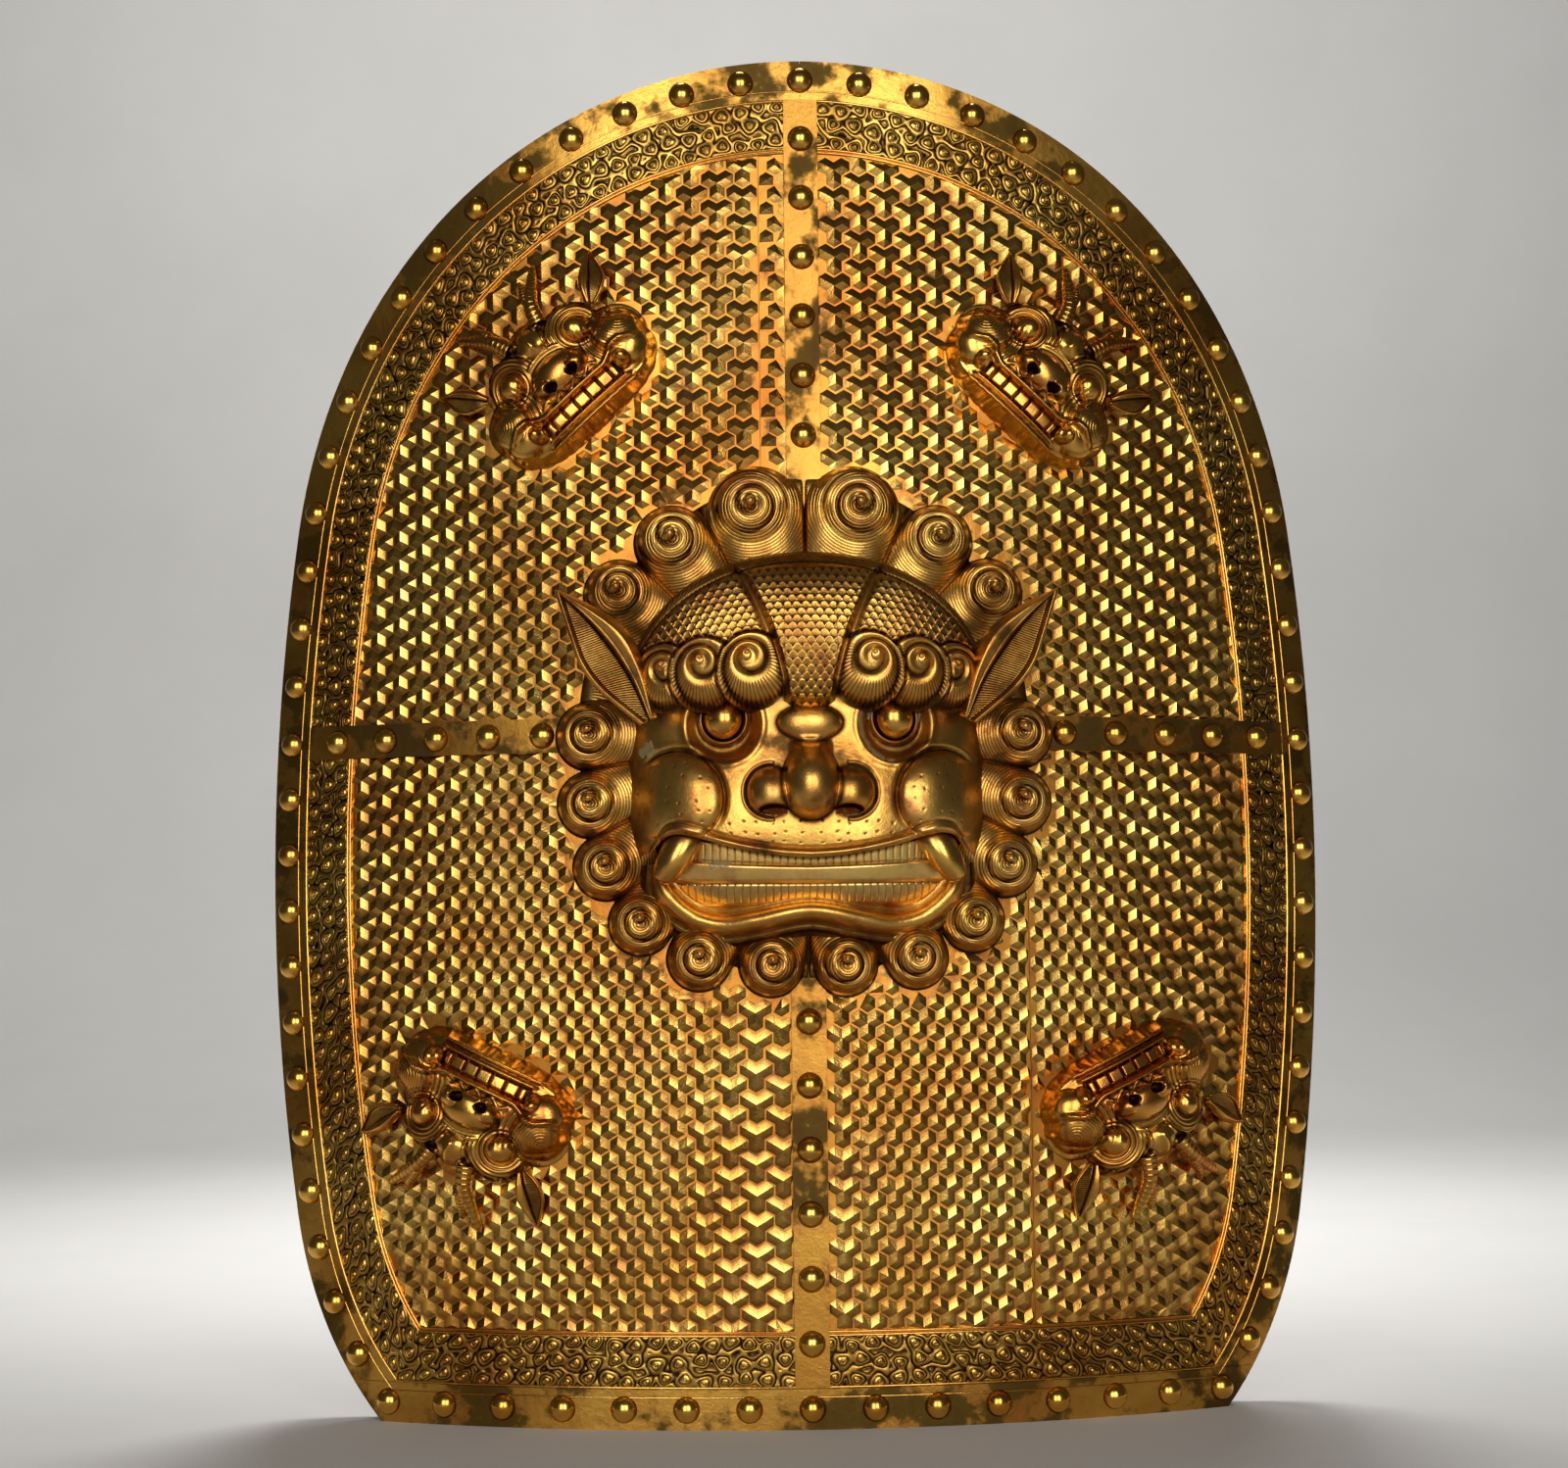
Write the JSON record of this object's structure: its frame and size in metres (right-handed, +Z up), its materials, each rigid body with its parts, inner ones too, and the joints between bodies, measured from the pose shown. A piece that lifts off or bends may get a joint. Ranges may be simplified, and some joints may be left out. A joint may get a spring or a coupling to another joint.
{
  "type": "gilded shield",
  "caption": "Arched, curved ceremonial shield with riveted straps, a lion mask and beast heads on patterned gilt sheet, over a lined wooden board with grip and arm loop.",
  "frame": {"origin": "on the floor, at the middle of the bounding box in width and depth", "axes": "+Z up, +X to the right of someone who faces the gilt front, -Y towards that person"},
  "size_m": [0.607, 0.166, 0.76],
  "materials": {
    "gilt_sheet": "fire-gilt copper sheet, chased in low relief, rubbed bright on the ridges",
    "gilt_rim": "worn gilding over copper with olive and brown tarnish",
    "gilt_strap": "worn gilding over copper with olive and brown tarnish",
    "gilt_rivet": "polished gilt domes with dark rings at their feet",
    "gilt_mask": "deeper brown gilt bronze with polished high spots",
    "copper_fixing": "dull hammered copper",
    "aged_brass": "dull aged brass",
    "board_wood": "plain aged softwood",
    "grip_wood": "hand-polished dark hardwood",
    "lining_leather": "aged vegetable-tanned hide",
    "strap_leather": "thick saddle hide, creased"
  },
  "bodies": {
    "shield": {"upper_left_panel": "gilt_sheet", "upper_right_panel": "gilt_sheet", "lower_left_panel": "gilt_sheet", "lower_middle_panel": "gilt_sheet", "lower_right_panel": "gilt_sheet", "rim_arch_left": "gilt_rim", "rim_arch_right": "gilt_rim", "rim_side_left": "gilt_rim", "rim_side_right": "gilt_rim", "rim_bottom": "gilt_rim", "top_strap": "gilt_strap", "bottom_strap": "gilt_strap", "left_strap": "gilt_strap", "right_strap": "gilt_strap", "rim_rivets": "gilt_rivet", "top_strap_rivets": "gilt_rivet", "bottom_strap_rivets": "gilt_rivet", "left_strap_rivets": "gilt_rivet", "right_strap_rivets": "gilt_rivet", "rim_burrs": "copper_fixing", "strap_burrs": "copper_fixing", "mask_pin_burrs": "copper_fixing", "mask_pins": "copper_fixing", "lion_mane": "gilt_mask", "lion_face": "gilt_mask", "lion_brow": "gilt_mask", "lion_ear_left": "gilt_mask", "lion_ear_right": "gilt_mask", "lion_eye_left": "gilt_mask", "lion_eye_right": "gilt_mask", "lion_fang_left": "gilt_mask", "lion_fang_right": "gilt_mask", "lion_teeth": "gilt_mask", "upper_left_head": "gilt_sheet", "upper_right_head": "gilt_sheet", "lower_left_head": "gilt_sheet", "lower_right_head": "gilt_sheet", "board_stave_1": "board_wood", "board_stave_2": "board_wood", "board_stave_3": "board_wood", "board_stave_4": "board_wood", "board_stave_5": "board_wood", "board_stave_6": "board_wood", "board_stave_7": "board_wood", "board_stave_8": "board_wood", "leather_lining": "lining_leather", "grip_bar": "grip_wood", "grip_bracket_upper": "aged_brass", "grip_bracket_lower": "aged_brass", "grip_rivets": "aged_brass", "arm_plate_upper": "aged_brass", "arm_plate_lower": "aged_brass", "arm_strap_rivets": "aged_brass", "ring_eye": "aged_brass", "arm_strap": "strap_leather"},
    "ring": {"hanging_ring": "aged_brass"}
  },
  "joints": [
    {"name": "ring_swing", "type": "hinge", "parent": "shield", "child": "ring", "pos_m": [0, 0.00368, 0.5969], "axis": [1, 0, 0], "range_deg": [-5, 170]}
  ]
}
